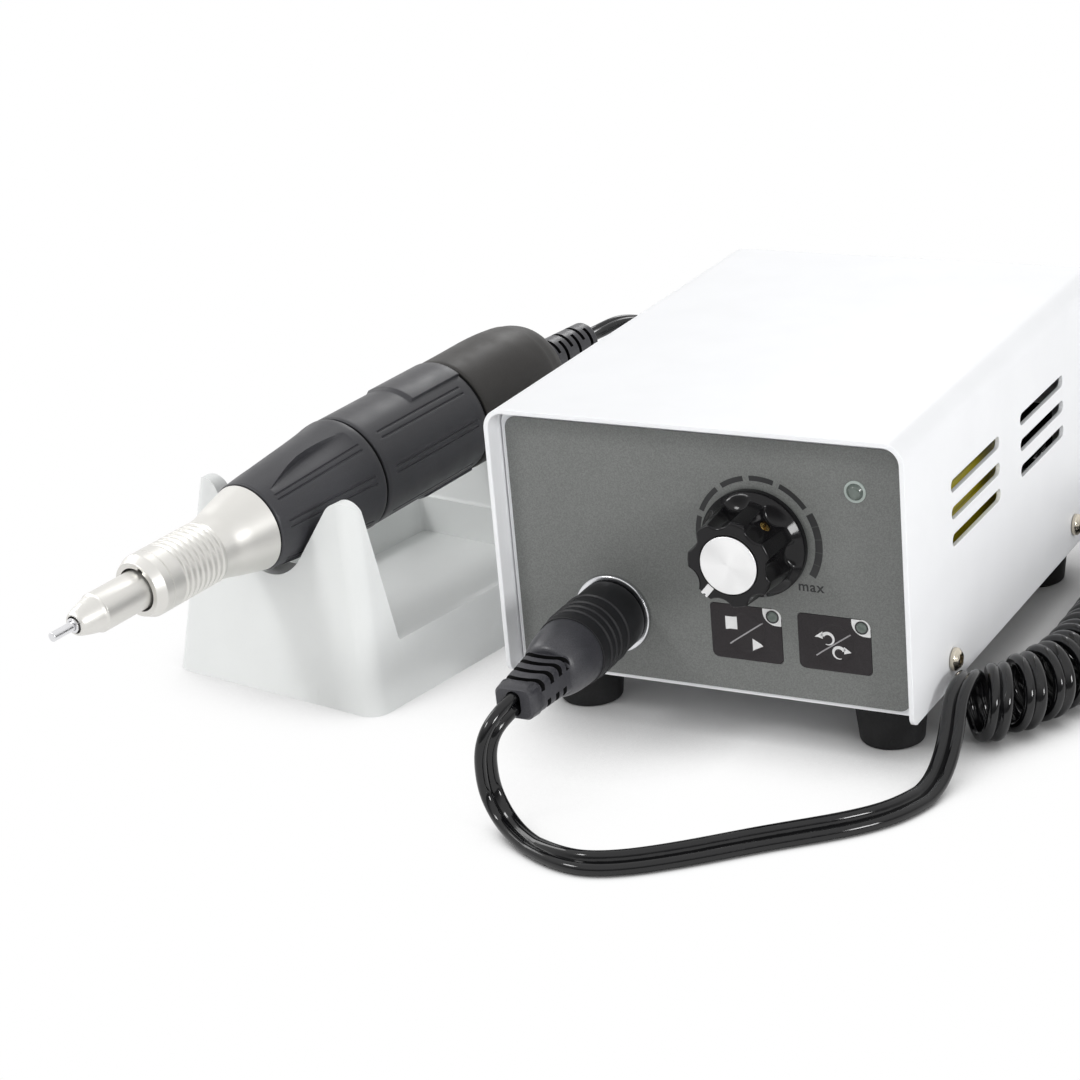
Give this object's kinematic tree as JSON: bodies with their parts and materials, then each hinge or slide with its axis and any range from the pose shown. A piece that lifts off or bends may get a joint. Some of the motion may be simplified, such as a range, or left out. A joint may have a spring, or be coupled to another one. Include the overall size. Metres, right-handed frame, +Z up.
{
  "type": "dental laboratory micromotor",
  "caption": "Bench control unit with a speed knob and two keys, curly cord to a straight handpiece that rests on a notched stand.",
  "frame": {"origin": "on the table, at the middle of the footprint of the control unit, stand and handpiece, with the cord and its plug left out", "axes": "+Z up, -Y the way the front panel faces, +X to the right as seen from the front; the stand and handpiece are turned 9.7 degrees clockwise from +Y as seen from above"},
  "size_m": [0.2337, 0.2649, 0.08],
  "materials": {
    "white_paint": "semi-gloss powder coat on bent sheet",
    "grey_label": "printed film with a fine speckle",
    "key_film": "printed film with white symbols",
    "lens": "clear tinted lens",
    "black_plastic": "moulded, smooth",
    "soft_black": "fine satin grain",
    "rubber": "matt moulded rubber",
    "spun_aluminium": "turned, bright",
    "satin_nickel": "satin nickel plate",
    "steel": "turned steel",
    "brass": "turned brass",
    "stand_plastic": "moulded, fine grain",
    "board": "solder resist",
    "core_iron": "varnished laminations",
    "winding_tape": "yellow tape over copper wire",
    "copper": "turned copper segments",
    "carbon": "pressed carbon",
    "magnet": "sintered",
    "cable": "glossy flexible jacket"
  },
  "bodies": {
    "control_unit": {"cover": "white_paint", "chassis_tray": "white_paint", "front_label": "grey_label", "start_lamp": "lens", "direction_lamp": "lens", "power_lamp": "lens", "socket_insert": "black_plastic", "mains_inlet": "black_plastic", "switch_housing": "black_plastic", "fuse_holder": "black_plastic", "pedal_socket": "black_plastic", "capacitor": "black_plastic", "foot_front_left": "rubber", "foot_front_right": "rubber", "foot_rear_left": "rubber", "foot_rear_right": "rubber", "socket_ring": "spun_aluminium", "heat_sink": "spun_aluminium", "cover_screw_front_left": "steel", "cover_screw_front_right": "steel", "cover_screw_rear_left": "steel", "cover_screw_rear_right": "steel", "potentiometer_body": "steel", "potentiometer_nut": "steel", "handpiece_stand": "stand_plastic", "key_board": "board", "circuit_board": "board", "transformer_core": "core_iron", "transformer_winding": "winding_tape", "cord_curly": "cable", "cord_rear": "cable"},
    "speed_control": {"speed_knob": "black_plastic", "knob_cap": "spun_aluminium", "knob_set_screw": "brass", "potentiometer_shaft": "steel"},
    "start_stop": {"start_stop_key": "key_film"},
    "direction": {"direction_key": "key_film"},
    "rocker": {"power_rocker": "black_plastic"},
    "fuse_carrier": {"fuse_cap": "black_plastic"},
    "plug": {"handpiece_plug": "black_plastic", "plug_strain_relief": "soft_black", "cord_front": "cable"},
    "handpiece": {"handpiece_strain_relief": "soft_black", "rear_cap": "soft_black", "motor_case": "soft_black", "nose_cone": "satin_nickel", "nose_tip": "satin_nickel", "front_bearing_a": "steel", "front_bearing_b": "steel", "rear_bearing": "steel", "magnet_ring": "magnet", "brush_holder": "black_plastic", "brush_left": "carbon", "brush_right": "carbon"},
    "chuck_grip": {"front_grip": "soft_black"},
    "spindle": {"spindle_shaft": "steel", "collet": "steel", "rotor": "core_iron", "commutator": "copper"},
    "mandrel": {"test_mandrel": "steel"}
  },
  "joints": [
    {"name": "speed_turn", "type": "hinge", "parent": "control_unit", "child": "speed_control", "pos_m": [0.06278, -0.02841, 0.0516], "axis": [0, 1, 0], "range_deg": [0, 270]},
    {"name": "start_stop_press", "type": "slide", "parent": "control_unit", "child": "start_stop", "axis": [0, 1, 0], "range_m": [0, 0.0004], "stiffness_N_per_m": 1500, "springref_m": -0.0003},
    {"name": "direction_press", "type": "slide", "parent": "control_unit", "child": "direction", "axis": [0, 1, 0], "range_m": [0, 0.0004], "stiffness_N_per_m": 1500, "springref_m": -0.0003},
    {"name": "power_rock", "type": "hinge", "parent": "control_unit", "child": "rocker", "pos_m": [0.07648, 0.09919, 0.061], "axis": [-1, 0, 0], "range_deg": [0, 24]},
    {"name": "fuse_twist", "type": "hinge", "parent": "control_unit", "child": "fuse_carrier", "pos_m": [0.04248, 0.09979, 0.058], "axis": [0, 1, 0], "range_deg": [0, 90]},
    {"name": "plug_pull", "type": "slide", "parent": "control_unit", "child": "plug", "axis": [0, -1, 0], "range_m": [0, 0.012]},
    {"name": "handpiece_lift", "type": "slide", "parent": "control_unit", "child": "handpiece", "axis": [-0.0093, -0.0541, 0.9985], "range_m": [0, 0.06]},
    {"name": "chuck_twist", "type": "hinge", "parent": "handpiece", "child": "chuck_grip", "pos_m": [-0.06972, -0.03871, 0.04558], "axis": [0.1682, 0.9842, 0.0549], "range_deg": [0, 60]},
    {"name": "spindle_spin", "type": "hinge", "parent": "handpiece", "child": "spindle", "pos_m": [-0.06972, -0.03871, 0.04558], "axis": [0.1682, 0.9842, 0.0549], "continuous": true},
    {"name": "mandrel_pull", "type": "slide", "parent": "spindle", "child": "mandrel", "axis": [-0.1682, -0.9842, -0.0549], "range_m": [0, 0.03]}
  ]
}
